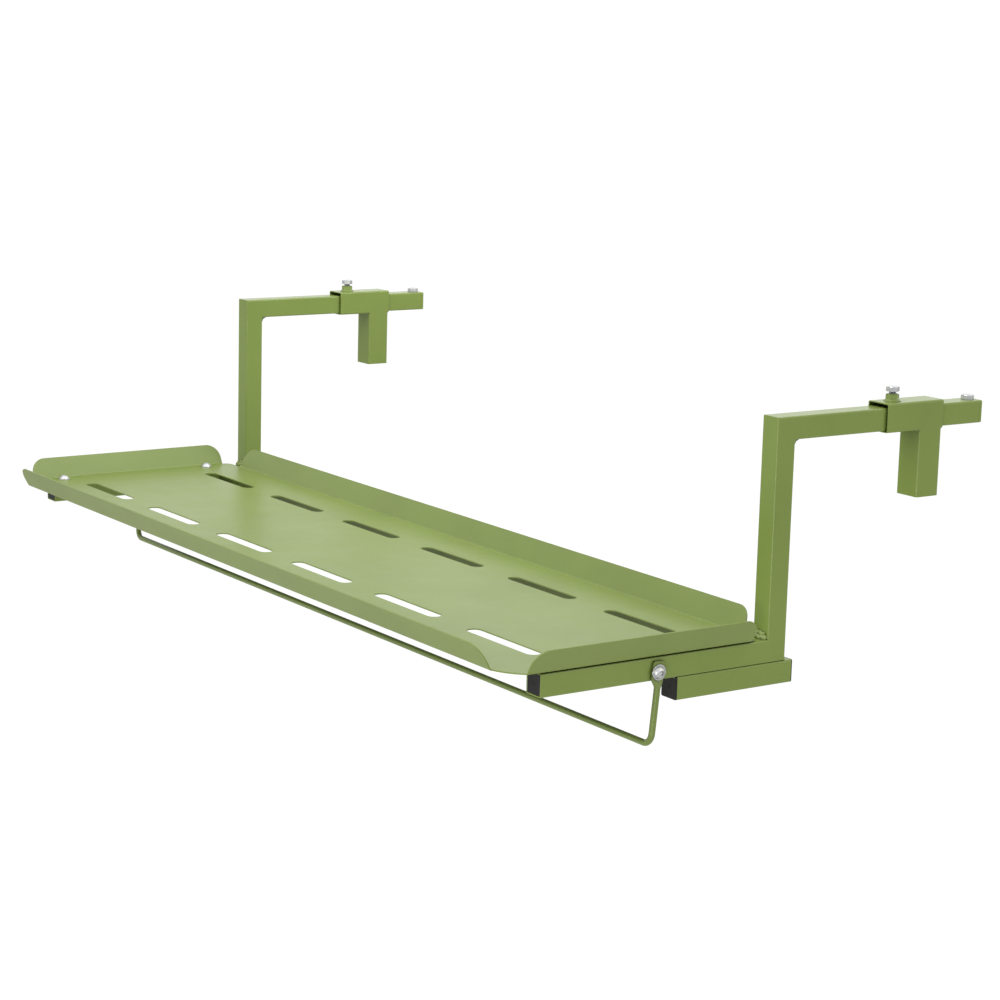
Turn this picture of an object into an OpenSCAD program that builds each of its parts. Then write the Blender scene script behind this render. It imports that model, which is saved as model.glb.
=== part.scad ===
// Table that hangs on a balcony railing: a folded sheet tray on two hooked
// brackets of square tube, with sliding clamps and a swinging rod.
// The origin is half way between the two hooks, at the inner corner of the
// hook, where the underside of the arms meets the rear face of the posts.
// +X runs along the railing, +Y points over the railing, +Z points up.

/* [Bracket tubes] */
// Outside width of the square bracket tube
tube_w = 25; // [22:1:32]
// Wall of the bracket tube
tube_wall = 1.5; // [1:0.1:2.5]
// Outside corner radius of the bracket tube
tube_r = 2; // [1:0.1:3]
// Inside corner radius of the bracket tube
tube_inner_r = 0.5; // [0.2:0.1:1]
// Length of the arm behind the rear face of the post, with its end plate
arm_reach = 269; // [250:1:360]
// Thickness of the plate that closes the arm
end_plate_t = 4; // [2:0.5:10]
// Height from the top of the lower arm to the underside of the top arm
hook_drop = 212.5; // [150:0.5:300]
// Radius of the weld fillet in the inner corner of the hook
hook_fillet_r = 7; // [3:0.5:8]
// Length of the spacer tube in front of the rear face of the post
spacer_front = 146; // [80:1:150]
// Length of the spacer tube behind the rear face of the post
spacer_back = 10.5; // [4:0.5:25]
// Distance from the rear edge of the tray floor to the cross tube
cross_tube_setback = 3; // [1:1:10]

/* [Tray] */
// Length of the tray floor between its side flanges
tray_l = 1168; // [1140:2:1600]
// Depth of the tray floor between its front and rear flanges
tray_d = 318; // [310:1:400]
// Thickness of the tray sheet
sheet_t = 1.5; // [1:0.1:2.5]
// Gap from the front face of the posts to the rear edge of the tray floor
tray_post_gap = 13.5; // [8:0.5:20]
// Inside radius of the flange bends
bend_r = 2; // [1:0.5:4]
// Lean of the flanges from upright, in degrees
flange_lean = 28.5; // [5:0.1:40]
// Length of the flanges from bend to edge
flange_l = 28.2; // [22:0.2:40]
// Radius of the rounded flange ends
flange_end_r = 20; // [8:1:21]
// Length of the cut across a front corner of the floor, along the front edge
corner_cut_l = 30; // [20:0.5:40]
// Length of the cut across a front corner of the floor, along the side edge
corner_cut_d = 20.5; // [14:0.5:30]
// Bulge of the curved cut across a front corner
corner_bulge = 3; // [2:0.5:5]
// Gap from a front corner cut to the ends of the two flanges beside it
corner_gap = 0.4; // [0.2:0.1:3]
// Radius of the two rear corners of the floor
rear_corner_r = 10; // [6:1:16]
// Gap from a post to the end of the rear flange
rear_flange_gap = 5; // [2:1:15]
// Distance the floor reaches past the front ends of the lower arms
tray_overhang = 38.5; // [10:0.5:60]
// Distance from the front end of the lower arm to the front tray bolts
tray_bolt_front = 19; // [17:1:30]
// Distance from the rear edge of the tray floor to the rear tray bolts
tray_bolt_rear = 43; // [20:1:60]

/* [Tray slots] */
// Number of slots in a row
slots_per_row = 6; // [3:1:6]
// Distance from a side edge of the floor to the first slot
slot_margin = 57; // [45:1:90]
// Gap between the ends of two slots
slot_gap = 62; // [30:1:80]
// Width of a slot
slot_w = 17; // [8:0.5:24]
// Distance from the front edge of the floor to the front row
front_row_inset = 74.5; // [50:0.5:100]
// Distance from the rear edge of the floor to the rear row
rear_row_inset = 63.5; // [45:0.5:80]

/* [Clamps] */
// Play between the arm and the inside of the sleeve, on both sides together
sleeve_play = 4; // [0.6:0.1:5]
// Wall of the sleeve and leg tube
sleeve_wall = 1.5; // [1:0.1:1.8]
// Outside corner radius of the sleeve and leg tube
sleeve_r = 2.5; // [1:0.1:3]
// Length of the sleeve
sleeve_l = 81; // [60:1:100]
// Distance from the rear end of the sleeve to the stop bolt
sleeve_to_stop = 51; // [10:1:120]
// Length of the clamp leg under the sleeve
leg_l = 74; // [40:1:120]
// Distance from the rear end of the sleeve to the clamp leg
leg_inset = 1; // [0:0.5:15]
// Distance from the front end of the sleeve to its bolt
clamp_bolt_inset = 19.5; // [15:0.5:35]
// Gap from the end plate of the arm to the nut of the stop bolt
stop_nut_gap = 0.5; // [0.5:0.5:6]

/* [Hanging rod] */
// Diameter of the rod
rod_d = 7; // [5:0.5:8]
// Distance from the pivots to the middle of the cross bar
rod_drop = 76.5; // [60:0.5:120]
// Bend radius at the middle of the rod
rod_bend_r = 12; // [8:1:20]
// Lean of the hanging rod towards the front, in degrees
rod_lean = 5.5; // [0:0.5:10]
// Width of the flattened eye
eye_w = 15; // [13:0.5:18]
// Distance from the pivot up to the end of the eye
eye_top = 11.5; // [9:0.5:12]
// Radius of the corners of the eye
eye_corner_r = 3; // [1:0.5:6]
// Thickness of the flattened eye
eye_t = 3; // [2:0.1:4]
// Distance from the post to the pivot
pivot_front = 147.5; // [130:0.5:200]
// Distance from the middle of the lower arm down to the pivot
pivot_below_mid = 3; // [0:0.5:3.5]

/* [Fasteners] */
// Thread diameter of all bolts
bolt_d = 8; // [6:0.5:8]
// Width across the flats of hexagon heads and nuts
hex_af = 13; // [12.5:0.5:14]
// Height of a hexagon bolt head
hex_head_h = 5.3; // [4:0.1:7]
// Height of a plain nut
nut_h = 6.5; // [5:0.1:8]
// Height of the flanged clamp nut
flange_nut_h = 8; // [6:0.1:10]
// Diameter of the flange of the clamp nut
flange_nut_d = 17.9; // [16:0.1:20]
// Height of the lock nut on a pivot bolt
lock_nut_h = 8; // [6:0.1:10]
// Diameter of a button head
button_d = 14; // [12:0.1:15]
// Height of a button head
button_h = 4.4; // [3.5:0.1:5]
// Width across the flats of the hexagon socket
socket_af = 5; // [4:0.5:6]
// Depth of the hexagon socket
socket_depth = 2.6; // [1.5:0.1:3]
// Diameter of a washer
washer_d = 17; // [15.5:0.1:18]
// Thickness of a washer
washer_t = 1.6; // [1:0.1:2.5]
// Length of a clamp bolt under its head
clamp_bolt_l = 15.5; // [14:0.5:20]
// Length of a stop bolt under its head
stop_bolt_l = 12; // [10:0.5:16]
// Length of a tray bolt under its head
tray_bolt_l = 16; // [10:0.5:18]
// Body diameter of a tray insert
insert_d = 11; // [9.5:0.1:12]
// Flange diameter of a tray insert
insert_flange_d = 13; // [12:0.1:14]
// Flange thickness of a tray insert
insert_flange_t = 1.5; // [0.6:0.1:2]
// Length of a tray insert under its flange
insert_l = 14; // [8:0.5:16]

/* [Plugs] */
// Depth of a tube plug
plug_depth = 10; // [6:0.5:11]
// Thickness of the face of a plug
plug_face_t = 2; // [1:0.1:3]
// Thickness of the skirt of a plug
plug_skirt_t = 1.5; // [1:0.1:2.5]
// Thickness of the rim that covers the end of a spacer tube
cap_rim_t = 1.2; // [0.8:0.1:2.5]

/* [Hidden] */
$fn = 48;

// Clearances and small sizes
slip = 0.3;
side_play = 0.2;
plug_fit = 0.1;
thread_fit = 0.1;
pivot_fit = 0.08;
bolt_hole_fit = 0.3;
head_chamfer = 0.8;
flange_edge_t = 1.2;
lock_collar_share = 0.3;
pivot_tip = 2;
overrun = 1;
bend_sector = 10;
bend_step = 0.2;

// Colours
green = [0.50, 0.57, 0.33];
tray_green = [0.62, 0.67, 0.45];
black = [0.16, 0.16, 0.16];
zinc = [0.78, 0.78, 0.80];

// Places that follow from the sizes above
bracket_x = tray_l / 2 - tube_w / 2;
outer_x = tray_l / 2;
arm_mid_z = tube_w / 2;
lower_top_z = -hook_drop;
lower_bottom_z = lower_top_z - tube_w;
lower_mid_z = lower_top_z - tube_w / 2;
spacer_mid_z = lower_bottom_z - tube_w / 2;
tray_z = lower_top_z + insert_flange_t;
tray_rear_y = -tube_w - tray_post_gap;
tray_front_y = tray_rear_y - tray_d;
lower_front_y = tray_front_y + tray_overhang;
slot_l = (tray_l - 2 * slot_margin - (slots_per_row - 1) * slot_gap) / slots_per_row;
stop_bolt_y = arm_reach - end_plate_t - stop_nut_gap - hex_af / 2;
sleeve_w = tube_w + sleeve_play + 2 * sleeve_wall;
sleeve_bottom_z = -slip - sleeve_wall;
sleeve_top_z = sleeve_bottom_z + sleeve_w;
sleeve_end_y = stop_bolt_y - sleeve_to_stop;
sleeve_start = sleeve_end_y - sleeve_l;
leg_mid_y = sleeve_end_y - leg_inset - sleeve_w / 2;
leg_bottom_z = sleeve_bottom_z - leg_l;
clamp_bolt_y = sleeve_start + clamp_bolt_inset;
clamp_tip_z = tube_w + slip;
pivot_y = -tube_w - pivot_front;
pivot_z = lower_mid_z - pivot_below_mid;
rod_x = outer_x + side_play + rod_d / 2;
pivot_washer_x = outer_x + side_play + eye_t + side_play;
bolt_bore_r = bolt_d / 2 + thread_fit;
bolt_hole_r = bolt_d / 2 + bolt_hole_fit;
pivot_bolt_l = washer_t + side_play + eye_t + side_play + tube_w + washer_t + lock_nut_h + pivot_tip;
tray_bolt_ys = [lower_front_y + tray_bolt_front, tray_rear_y - tray_bolt_rear];

// Square with round corners, centred
module rounded_square(width, radius) {
    reach = width / 2 - radius;
    square([width, 2 * reach], center = true);
    square([2 * reach, width], center = true);
    for (sx = [-1, 1], sy = [-1, 1])
        translate([sx * reach, sy * reach])
            circle(radius);
}

// Square tube standing on the origin
module square_tube(length, width, wall, outer_r, inner_r) {
    linear_extrude(length)
        difference() {
            rounded_square(width, outer_r);
            rounded_square(width - 2 * wall, inner_r);
        }
}

module bracket_tube(length) {
    square_tube(length, tube_w, tube_wall, tube_r, tube_inner_r);
}

// Turns a shape that stands up so that it lies along +Y
module along_y() {
    rotate([-90, 0, 0])
        children();
}

// Everything above or below the mitre plane through (y, z), which falls to the rear
module mitre_side(y, z, above) {
    reach = 3 * tube_w;
    translate([0, y, z])
        rotate([above ? -45 : 135, 0, 0])
            translate([-reach / 2, -reach / 2, 0])
                cube(reach);
}

module top_arm() {
    tube_end = arm_reach - end_plate_t;
    translate([bracket_x, 0, arm_mid_z])
        difference() {
            translate([0, -tube_w, 0])
                along_y()
                    bracket_tube(tube_w + tube_end);
            mitre_side(0, -arm_mid_z, false);
            translate([0, stop_bolt_y, 0])
                cylinder(h = tube_w, r = bolt_hole_r);
        }
}

module hook_fillet() {
    width = tube_w - 2 * tube_r;
    translate([bracket_x - width / 2, 0, 0])
        rotate([90, 0, 90])
            linear_extrude(width)
                difference() {
                    translate([0, -hook_fillet_r])
                        square(hook_fillet_r);
                    translate([hook_fillet_r, -hook_fillet_r])
                        circle(hook_fillet_r);
                }
}

module post() {
    translate([bracket_x, -tube_w / 2, 0])
        difference() {
            translate([0, 0, lower_bottom_z])
                bracket_tube(tube_w - lower_bottom_z);
            mitre_side(tube_w / 2, 0, true);
            mitre_side(tube_w / 2, lower_bottom_z, false);
        }
    hook_fillet();
}

module lower_arm() {
    translate([bracket_x, 0, lower_mid_z])
        difference() {
            translate([0, lower_front_y, 0])
                along_y()
                    bracket_tube(-lower_front_y);
            mitre_side(0, -tube_w / 2, true);
            for (y = tray_bolt_ys)
                translate([0, y, 0])
                    cylinder(h = tube_w, d = insert_d + 2 * plug_fit);
            translate([-tube_w, pivot_y, -pivot_below_mid])
                rotate([0, 90, 0])
                    cylinder(h = 2 * tube_w, r = bolt_hole_r);
        }
}

module spacer_tube() {
    translate([bracket_x, cap_rim_t - spacer_front, spacer_mid_z])
        along_y()
            bracket_tube(spacer_front + spacer_back - 2 * cap_rim_t);
}

module cross_tube() {
    span = 2 * (bracket_x - tube_w / 2);
    translate([-span / 2, tray_rear_y - cross_tube_setback - tube_w / 2, lower_mid_z])
        rotate([0, 90, 0])
            bracket_tube(span);
}

module arm_end_plate() {
    translate([bracket_x, arm_reach - end_plate_t, arm_mid_z])
        along_y()
            linear_extrude(end_plate_t)
                rounded_square(tube_w, tube_r);
}

// Plug that fills the end of a tube from the origin upwards, its face at the bottom
module plug(inner_w, inner_r) {
    width = inner_w - 2 * plug_fit;
    difference() {
        linear_extrude(plug_depth)
            rounded_square(width, inner_r);
        translate([0, 0, plug_face_t])
            linear_extrude(plug_depth)
                rounded_square(width - 2 * plug_skirt_t, inner_r);
    }
}

module bracket_plug() {
    plug(tube_w - 2 * tube_wall, tube_inner_r);
}

module lower_arm_cap() {
    translate([bracket_x, lower_front_y, lower_mid_z])
        along_y()
            bracket_plug();
}

// Plug with a rim that covers the end of the tube, the rim at the bottom
module rimmed_plug() {
    linear_extrude(cap_rim_t)
        rounded_square(tube_w, tube_r);
    translate([0, 0, cap_rim_t])
        bracket_plug();
}

module spacer_caps() {
    translate([bracket_x, -spacer_front, spacer_mid_z])
        along_y()
            rimmed_plug();
    translate([bracket_x, spacer_back, spacer_mid_z])
        rotate([90, 0, 0])
            rimmed_plug();
}

// Hexagon prism with its upper corners turned off
module hex_prism(height) {
    corner_r = hex_af / 2 / cos(30);
    intersection() {
        cylinder(h = height, r = corner_r, $fn = 6);
        union() {
            cylinder(h = height - head_chamfer, r = corner_r);
            translate([0, 0, height - head_chamfer])
                cylinder(h = head_chamfer, r1 = corner_r, r2 = hex_af / 2);
        }
    }
}

// Hexagon bolt that points down, the underside of its head at the origin
module hex_bolt(length) {
    hex_prism(hex_head_h);
    translate([0, 0, -length])
        cylinder(h = length, d = bolt_d);
}

// Button-head bolt that points down, the underside of its head at the origin
module button_bolt(length) {
    half = button_d / 2;
    dome_r = (half * half + button_h * button_h) / (2 * button_h);
    difference() {
        intersection() {
            cylinder(h = button_h, d = button_d);
            translate([0, 0, button_h - dome_r])
                sphere(dome_r);
        }
        translate([0, 0, button_h - socket_depth])
            cylinder(h = button_h, d = socket_af / cos(30), $fn = 6);
    }
    translate([0, 0, -length])
        cylinder(h = length, d = bolt_d);
}

module washer() {
    difference() {
        cylinder(h = washer_t, d = washer_d);
        translate([0, 0, -overrun])
            cylinder(h = washer_t + 2 * overrun, r = bolt_hole_r);
    }
}

module nut(height) {
    difference() {
        hex_prism(height);
        translate([0, 0, -overrun])
            cylinder(h = height + 2 * overrun, r = bolt_bore_r);
    }
}

module flange_nut() {
    cone_h = flange_nut_h / 3;
    difference() {
        union() {
            hex_prism(flange_nut_h);
            cylinder(h = flange_edge_t, d = flange_nut_d);
            translate([0, 0, flange_edge_t])
                cylinder(h = cone_h - flange_edge_t, d1 = flange_nut_d, d2 = hex_af);
        }
        translate([0, 0, -overrun])
            cylinder(h = flange_nut_h + 2 * overrun, r = bolt_bore_r);
    }
}

module lock_nut() {
    collar_h = lock_nut_h * lock_collar_share;
    difference() {
        union() {
            hex_prism(lock_nut_h - collar_h);
            cylinder(h = lock_nut_h, d = hex_af - head_chamfer);
        }
        translate([0, 0, -overrun])
            cylinder(h = lock_nut_h + 2 * overrun, r = bolt_bore_r);
    }
}

module stop_bolt() {
    translate([bracket_x, stop_bolt_y, tube_w])
        hex_bolt(stop_bolt_l);
}

module stop_nut() {
    translate([bracket_x, stop_bolt_y, tube_w - tube_wall])
        mirror([0, 0, 1])
            nut(nut_h);
}

module clamp_sleeve() {
    translate([bracket_x, 0, 0])
        difference() {
            translate([0, sleeve_start, sleeve_bottom_z + sleeve_w / 2])
                along_y()
                    square_tube(sleeve_l, sleeve_w, sleeve_wall, sleeve_r, tube_inner_r);
            translate([0, clamp_bolt_y, tube_w])
                cylinder(h = sleeve_w, r = bolt_hole_r);
        }
}

module clamp_leg() {
    translate([bracket_x, leg_mid_y, leg_bottom_z])
        square_tube(leg_l, sleeve_w, sleeve_wall, sleeve_r, tube_inner_r);
}

module clamp_leg_cap() {
    translate([bracket_x, leg_mid_y, leg_bottom_z])
        plug(sleeve_w - 2 * sleeve_wall, tube_inner_r);
}

module clamp_nut() {
    translate([bracket_x, clamp_bolt_y, sleeve_top_z])
        flange_nut();
}

module clamp_bolt() {
    translate([bracket_x, clamp_bolt_y, clamp_tip_z + clamp_bolt_l])
        hex_bolt(clamp_bolt_l);
}

// Flat outline of a flattened eye, its hole at the origin, its neck along -Y
module eye_outline() {
    half = eye_w / 2;
    shoulder = eye_top - eye_corner_r;
    polygon([[-half, shoulder], [half, shoulder], [half, -half],
             [rod_d / 2, -eye_w], [-rod_d / 2, -eye_w], [-half, -half]]);
    translate([eye_corner_r - half, 0])
        square([eye_w - 2 * eye_corner_r, eye_top]);
    for (side = [-1, 1])
        translate([side * (half - eye_corner_r), shoulder])
            circle(eye_corner_r);
}

// Right half of the hanging rod, its pivot at height and depth zero
module rod_half() {
    straight = rod_drop - rod_bend_r;
    difference() {
        union() {
            translate([outer_x + side_play, 0, 0])
                rotate([90, 0, 90])
                    linear_extrude(eye_t)
                        eye_outline();
            translate([rod_x, 0, -eye_w])
                sphere(d = rod_d);
        }
        translate([outer_x, 0, 0])
            rotate([0, 90, 0])
                cylinder(h = tube_w, r = bolt_d / 2 + pivot_fit);
    }
    translate([rod_x, 0, -straight])
        cylinder(h = straight - eye_w, d = rod_d);
    translate([rod_x - rod_bend_r, 0, -straight])
        rotate([-90, 0, 0])
            rotate_extrude(angle = 90)
                translate([rod_bend_r, 0])
                    circle(d = rod_d);
    translate([0, 0, -rod_drop])
        rotate([0, 90, 0])
            cylinder(h = rod_x - rod_bend_r, d = rod_d);
}

module rod() {
    translate([0, pivot_y, pivot_z])
        rotate([-rod_lean, 0, 0]) {
            rod_half();
            mirror([1, 0, 0])
                rod_half();
        }
}

module pivot_bolt() {
    translate([pivot_washer_x + washer_t, pivot_y, pivot_z])
        rotate([0, 90, 0])
            button_bolt(pivot_bolt_l);
}

module pivot_washers() {
    for (x = [pivot_washer_x, outer_x - tube_w - washer_t])
        translate([x, pivot_y, pivot_z])
            rotate([0, 90, 0])
                washer();
}

module pivot_lock_nut() {
    translate([outer_x - tube_w - washer_t, pivot_y, pivot_z])
        rotate([0, -90, 0])
            lock_nut();
}

module obround(length, width) {
    square([length - width, width], center = true);
    for (side = [-1, 1])
        translate([side * (length - width) / 2, 0])
            circle(d = width);
}

module slot_row(y) {
    for (i = [0 : slots_per_row - 1])
        translate([(i - (slots_per_row - 1) / 2) * (slot_l + slot_gap), y])
            obround(slot_l, slot_w);
}

// What the curved cut takes off the front right corner of the floor
module corner_waste() {
    chord = norm([corner_cut_l, corner_cut_d]);
    curve_r = (chord * chord / 4 + corner_bulge * corner_bulge) / (2 * corner_bulge);
    difference() {
        translate([tray_l / 2 - corner_cut_l - overrun, tray_front_y - overrun])
            square([corner_cut_l + 2 * overrun, corner_cut_d + 2 * overrun]);
        translate([tray_l / 2 - corner_cut_l, tray_front_y])
            rotate(atan2(corner_cut_d, corner_cut_l))
                translate([chord / 2, curve_r - corner_bulge])
                    circle(curve_r);
    }
}

module floor_outline() {
    half = tray_l / 2;
    difference() {
        translate([-half, tray_front_y])
            square([tray_l, tray_d - rear_corner_r]);
        corner_waste();
        mirror([1, 0])
            corner_waste();
    }
    translate([rear_corner_r - half, tray_rear_y - rear_corner_r])
        square([tray_l - 2 * rear_corner_r, rear_corner_r]);
    for (side = [-1, 1])
        translate([side * (half - rear_corner_r), tray_rear_y - rear_corner_r])
            circle(rear_corner_r);
}

module tray_floor() {
    linear_extrude(sheet_t)
        difference() {
            floor_outline();
            slot_row(tray_front_y + front_row_inset);
            slot_row(tray_rear_y - rear_row_inset);
            for (side = [-1, 1], y = tray_bolt_ys)
                translate([side * bracket_x, y])
                    circle(bolt_hole_r);
        }
}

// Cross-section of a bend that starts at the origin, runs to +X and turns up
module bend_profile(turn) {
    outer_r = bend_r + sheet_t;
    translate([0, outer_r])
        intersection() {
            difference() {
                circle(outer_r);
                circle(bend_r);
            }
            polygon([[0, 0], [0, -bend_sector],
                     [bend_sector * sin(turn / 2), -bend_sector * cos(turn / 2)],
                     [bend_sector * sin(turn), -bend_sector * cos(turn)]]);
        }
}

// Flange along X that leans out to +Y, its bend starting at the origin.
// The flat part stays a small step in from the ends of the bend.
module flange(length) {
    turn = 90 - flange_lean;
    outer_r = bend_r + sheet_t;
    flat_l = length - 2 * bend_step;
    straight_l = flat_l - 2 * flange_end_r;
    translate([-length / 2, 0, 0])
        rotate([90, 0, 90])
            linear_extrude(length)
                bend_profile(turn);
    translate([0, 0, outer_r])
        rotate([turn, 0, 0])
            translate([0, 0, -outer_r])
                linear_extrude(sheet_t) {
                    translate([-flat_l / 2, 0])
                        square([flat_l, flange_l - flange_end_r]);
                    translate([-straight_l / 2, 0])
                        square([straight_l, flange_l]);
                    intersection() {
                        translate([-flat_l / 2, 0])
                            square([flat_l, flange_l]);
                        for (side = [-1, 1])
                            translate([side * straight_l / 2, flange_l - flange_end_r])
                                circle(flange_end_r);
                    }
                }
}

module tray_sheet() {
    front_l = tray_l - 2 * (corner_cut_l + corner_gap);
    rear_l = tray_l - 2 * (tube_w + rear_flange_gap);
    side_l = tray_d - corner_cut_d - corner_gap - rear_corner_r;
    side_y = tray_rear_y - rear_corner_r - side_l / 2;
    translate([0, 0, tray_z]) {
        tray_floor();
        translate([0, tray_rear_y, 0])
            flange(rear_l);
        translate([0, tray_front_y, 0])
            rotate(180)
                flange(front_l);
        for (side = [-1, 1])
            translate([side * tray_l / 2, side_y, 0])
                rotate(-side * 90)
                    flange(side_l);
    }
}

// The four tray bolt places, at a given height
module at_tray_bolts(z) {
    for (side = [-1, 1], y = tray_bolt_ys)
        translate([side * bracket_x, y, z])
            children();
}

module insert() {
    difference() {
        union() {
            cylinder(h = insert_flange_t, d = insert_flange_d);
            translate([0, 0, -insert_l])
                cylinder(h = insert_l, d = insert_d);
        }
        translate([0, 0, -insert_l - overrun])
            cylinder(h = insert_l + insert_flange_t + 2 * overrun, r = bolt_bore_r);
    }
}

module mirrored() {
    mirror([1, 0, 0])
        children();
}

module tray() { color(tray_green) tray_sheet(); }
module left_top_arm() { color(green) mirrored() top_arm(); }
module right_top_arm() { color(green) top_arm(); }
module left_post() { color(green) mirrored() post(); }
module right_post() { color(green) post(); }
module left_lower_arm() { color(green) mirrored() lower_arm(); }
module right_lower_arm() { color(green) lower_arm(); }
module left_spacer_tube() { color(green) mirrored() spacer_tube(); }
module right_spacer_tube() { color(green) spacer_tube(); }
module rear_cross_tube() { color(green) cross_tube(); }
module left_arm_end_plate() { color(green) mirrored() arm_end_plate(); }
module right_arm_end_plate() { color(green) arm_end_plate(); }
module left_lower_arm_cap() { color(black) mirrored() lower_arm_cap(); }
module right_lower_arm_cap() { color(black) lower_arm_cap(); }
module left_spacer_caps() { color(black) mirrored() spacer_caps(); }
module right_spacer_caps() { color(black) spacer_caps(); }
module left_stop_bolt() { color(zinc) mirrored() stop_bolt(); }
module right_stop_bolt() { color(zinc) stop_bolt(); }
module left_stop_nut() { color(zinc) mirrored() stop_nut(); }
module right_stop_nut() { color(zinc) stop_nut(); }
module left_clamp_sleeve() { color(green) mirrored() clamp_sleeve(); }
module right_clamp_sleeve() { color(green) clamp_sleeve(); }
module left_clamp_leg() { color(green) mirrored() clamp_leg(); }
module right_clamp_leg() { color(green) clamp_leg(); }
module left_clamp_leg_cap() { color(black) mirrored() clamp_leg_cap(); }
module right_clamp_leg_cap() { color(black) clamp_leg_cap(); }
module left_clamp_nut() { color(green) mirrored() clamp_nut(); }
module right_clamp_nut() { color(green) clamp_nut(); }
module left_clamp_bolt() { color(zinc) mirrored() clamp_bolt(); }
module right_clamp_bolt() { color(zinc) clamp_bolt(); }
module hanging_rod() { color(green) rod(); }
module left_pivot_bolt() { color(zinc) mirrored() pivot_bolt(); }
module right_pivot_bolt() { color(zinc) pivot_bolt(); }
module left_pivot_washers() { color(zinc) mirrored() pivot_washers(); }
module right_pivot_washers() { color(zinc) pivot_washers(); }
module left_lock_nut() { color(zinc) mirrored() pivot_lock_nut(); }
module right_lock_nut() { color(zinc) pivot_lock_nut(); }
module tray_bolts() { color(zinc) at_tray_bolts(tray_z + sheet_t + washer_t) button_bolt(tray_bolt_l); }
module tray_washers() { color(zinc) at_tray_bolts(tray_z + sheet_t) washer(); }
module tray_inserts() { color(zinc) at_tray_bolts(lower_top_z) insert(); }

tray();
left_top_arm();
right_top_arm();
left_post();
right_post();
left_lower_arm();
right_lower_arm();
left_spacer_tube();
right_spacer_tube();
rear_cross_tube();
left_arm_end_plate();
right_arm_end_plate();
left_lower_arm_cap();
right_lower_arm_cap();
left_spacer_caps();
right_spacer_caps();
left_stop_bolt();
right_stop_bolt();
left_stop_nut();
right_stop_nut();
left_clamp_sleeve();
right_clamp_sleeve();
left_clamp_leg();
right_clamp_leg();
left_clamp_leg_cap();
right_clamp_leg_cap();
left_clamp_nut();
right_clamp_nut();
left_clamp_bolt();
right_clamp_bolt();
hanging_rod();
left_pivot_bolt();
right_pivot_bolt();
left_pivot_washers();
right_pivot_washers();
left_lock_nut();
right_lock_nut();
tray_bolts();
tray_washers();
tray_inserts();
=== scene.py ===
"""Bar table for a balcony railing: a folded sheet tray on two hooked brackets of square tube,
with sliding clamps and a swinging rod. Lengths of its pieces are in millimetres, and those of
the floor, the lamps and the camera in metres."""

import math

import bmesh
import bpy
import numpy as np
from mathutils import Matrix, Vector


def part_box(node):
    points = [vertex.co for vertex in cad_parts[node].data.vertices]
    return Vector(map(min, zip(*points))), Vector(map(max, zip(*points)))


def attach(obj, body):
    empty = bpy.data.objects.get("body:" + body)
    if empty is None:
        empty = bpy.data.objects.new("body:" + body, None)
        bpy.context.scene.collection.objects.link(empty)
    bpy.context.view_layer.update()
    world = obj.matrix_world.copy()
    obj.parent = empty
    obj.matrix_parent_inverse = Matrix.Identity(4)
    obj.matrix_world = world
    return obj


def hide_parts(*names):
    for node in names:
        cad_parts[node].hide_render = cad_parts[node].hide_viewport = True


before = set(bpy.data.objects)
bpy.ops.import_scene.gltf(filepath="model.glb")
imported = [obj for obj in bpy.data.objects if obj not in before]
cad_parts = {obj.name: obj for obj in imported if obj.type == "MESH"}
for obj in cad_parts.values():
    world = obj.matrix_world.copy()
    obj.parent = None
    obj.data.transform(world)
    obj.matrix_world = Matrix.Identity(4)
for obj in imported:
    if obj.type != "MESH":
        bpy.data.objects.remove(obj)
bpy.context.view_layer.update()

MM = 0.001
RIGHT, LEFT = 1, -1
SIDES = (("right", RIGHT), ("left", LEFT))

TUBE, WALL, TUBE_R = 25.0, 1.5, 2.0
BRACKET_X = 571.5
OUTER_X = 584.0
SLEEVE, SLEEVE_R = 32.0, 2.5
LIP, MITRE_LIP = 0.3, 0.05
FLAT_STEP = 0.25
JOIN_M, FLAT_M, SHARP_ANGLE = 2e-6, 1e-7, math.radians(38)

FLOOR_FRONT, FLOOR_REAR = -356.5, -38.5
SHEET, BEND_R = 1.5, 2.0
FLOOR_MID_Z = -211 + SHEET / 2
FLANGE_TURN = math.radians(61.5)
FLANGE_L, FLANGE_R = 28.2, 20.0
CUT_X, CUT_Y, CUT_BULGE = 554.0, -336.0, 3.0
REAR_R = 10.0
BESIDE_BEND = 0.75
SLOT_L, SLOT_W, SLOT_PITCH = 124.0, 17.0, 186.0
SLOT_ROWS = ((-336.0, -232.0, -282.0), (-148.0, -48.5, -102.0))
SLOT_COUNT, STRIP_Y = 6, -190.0
ARC_STEPS, SIDE_STEPS = 4, 10
CELL_COLUMNS = 2 * ARC_STEPS + SIDE_STEPS + 1
CELL_ROWS = 2 * ARC_STEPS + 1
CUT_EDGE = 0.35

PIVOT_Y, PIVOT_Z = -172.5, -228.0
ROD_LEAN = math.radians(5.5)
ROD_D, ROD_DROP, ROD_BEND = 7.0, 76.5, 12.0
EYE_W, EYE_T, EYE_TOP, EYE_CORNER = 15.0, 3.0, 11.5, 3.0
NECK_FROM, NECK_L, LEG_FROM = 6.0, 11.0, 24.0
EYE_POWER, ROUND_POWER = 8.0, 2.0
RUNNING_GAP = 0.2

# M8 hardware
SCREW_D, THREAD_PITCH, THREAD_DEPTH = 8.0, 1.25, 0.5
HEX_FLATS, HEX_HEAD_H = 13.0, 5.3
INTO_HEAD = 0.3
AROUND_HEAD, AROUND_SCREW, AROUND_WASHER = 96, 40, 64
BUTTON_D, BUTTON_H = 14.0, 4.4
SOCKET, SOCKET_DEPTH, SOCKET_CONE = 5.0, 2.6, 0.9
WASHER_D, WASHER_BORE, WASHER_T = 17.0, 8.6, 1.6
NUT_BORE_R, NUT_FLANGE = 4.05, 17.9
TRAY_BOLT_YS = (-299.0, -81.5)


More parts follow.
